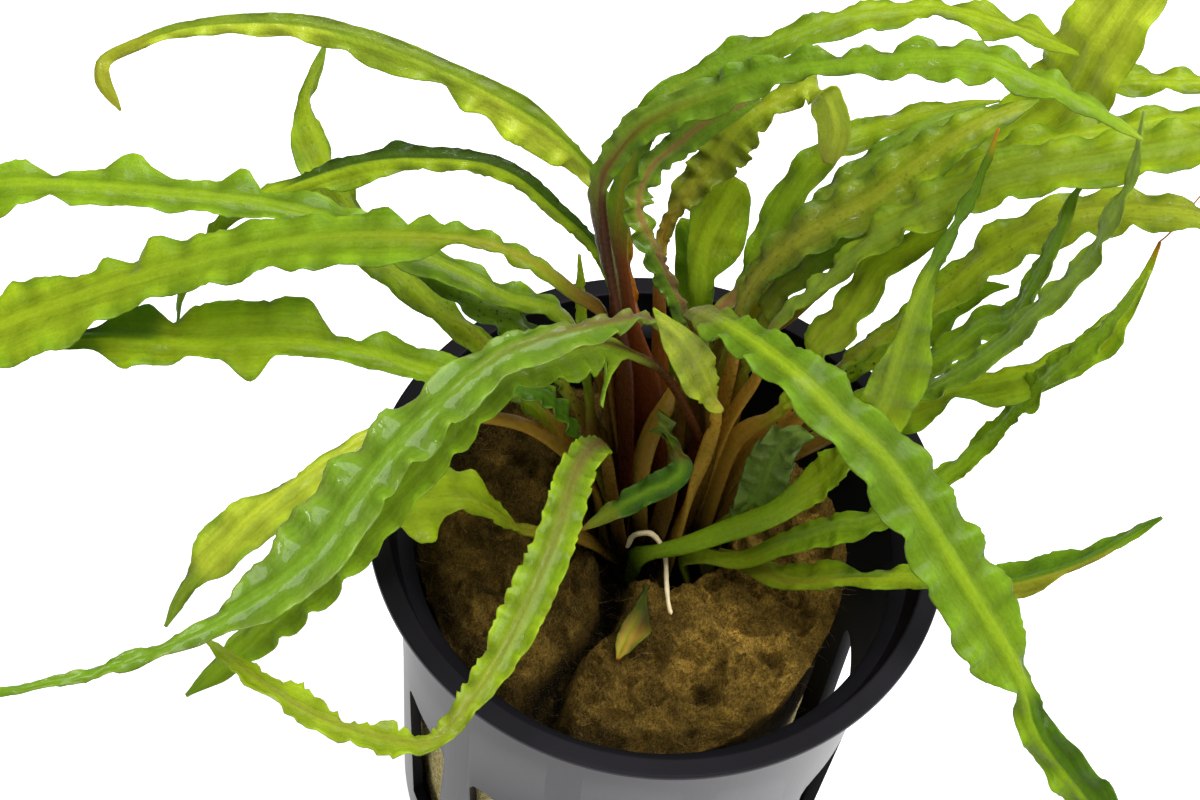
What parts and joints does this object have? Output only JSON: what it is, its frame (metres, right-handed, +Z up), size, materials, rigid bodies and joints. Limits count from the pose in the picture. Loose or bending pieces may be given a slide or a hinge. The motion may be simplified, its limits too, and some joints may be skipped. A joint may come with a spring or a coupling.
{
  "type": "potted aquarium plant",
  "caption": "Potted Cryptocoryne crispatula var. balansae: long ruffled ribbon leaves rising from a rock wool plug in a slotted black net pot.",
  "frame": {"origin": "middle of the pot's foot, on the surface that it stands on", "axes": "+Z up along the pot's axis, -Y towards the side that the plant is seen from, +X to the viewer's right"},
  "size_m": [0.1303, 0.0873, 0.1087],
  "materials": {
    "leaf_lime": "satin, backlit yellow-green leaf with ruffled margins",
    "leaf_green": "satin mid-green leaf",
    "leaf_dark": "satin dark green leaf",
    "leaf_waxy": "waxy grey-green leaf with a soft gloss",
    "leaf_olive": "satin olive-brown leaf with darker veins",
    "leaf_bronze": "satin red-brown leaf with a purple midrib",
    "crown": "dull brown plant tissue",
    "root": "smooth cream-white root",
    "rock_wool": "coarse brown fibre with pits",
    "pot": "black moulded plastic, matte rim and satin wall"
  },
  "bodies": {
    "root": {"net_pot": "pot", "rock_wool": "rock_wool", "crown": "crown", "white_root": "root", "shed_leaf": "leaf_bronze", "leaf_top_left_arch": "leaf_green", "leaf_back_left_lime": "leaf_lime", "leaf_left_dark_arch": "leaf_dark", "leaf_left_long_upper": "leaf_green", "leaf_left_long_lower": "leaf_lime", "leaf_left_speckled": "leaf_dark", "leaf_left_wavy": "leaf_lime", "leaf_near_left_arch": "leaf_waxy", "leaf_left_crinkled": "leaf_green", "leaf_front_narrow": "leaf_green", "leaf_front_right_broad": "leaf_lime", "leaf_left_low_crinkled": "leaf_lime", "leaf_left_low_yellow": "leaf_olive", "leaf_small_curled": "leaf_dark", "leaf_small_yellow": "leaf_olive", "leaf_small_spear": "leaf_lime", "leaf_top_near_arch": "leaf_green", "leaf_top_far_arch": "leaf_lime", "leaf_crimped_purple": "leaf_bronze", "leaf_crimped_olive": "leaf_olive", "leaf_back_broad_lime": "leaf_lime", "leaf_back_green": "leaf_green", "leaf_back_amber": "leaf_olive", "leaf_right_curled_edge": "leaf_green", "leaf_right_pink_rib": "leaf_bronze", "leaf_right_olive": "leaf_olive", "leaf_right_long": "leaf_lime", "leaf_right_dark_ruffle": "leaf_olive", "leaf_right_bright": "leaf_lime", "leaf_right_folded_tip": "leaf_olive", "leaf_right_rising": "leaf_green", "leaf_right_low": "leaf_green", "leaf_right_far": "leaf_lime", "leaf_right_twisted": "leaf_dark", "leaf_right_near_tip": "leaf_waxy", "leaf_right_dotted": "leaf_green", "leaf_top_right_broad": "leaf_lime", "leaf_back_right_upper": "leaf_green", "leaf_back_right_lower": "leaf_lime", "leaf_right_low_front": "leaf_olive", "leaf_inner_dark": "leaf_dark", "leaf_inner_crimped": "leaf_dark"}
  },
  "joints": []
}
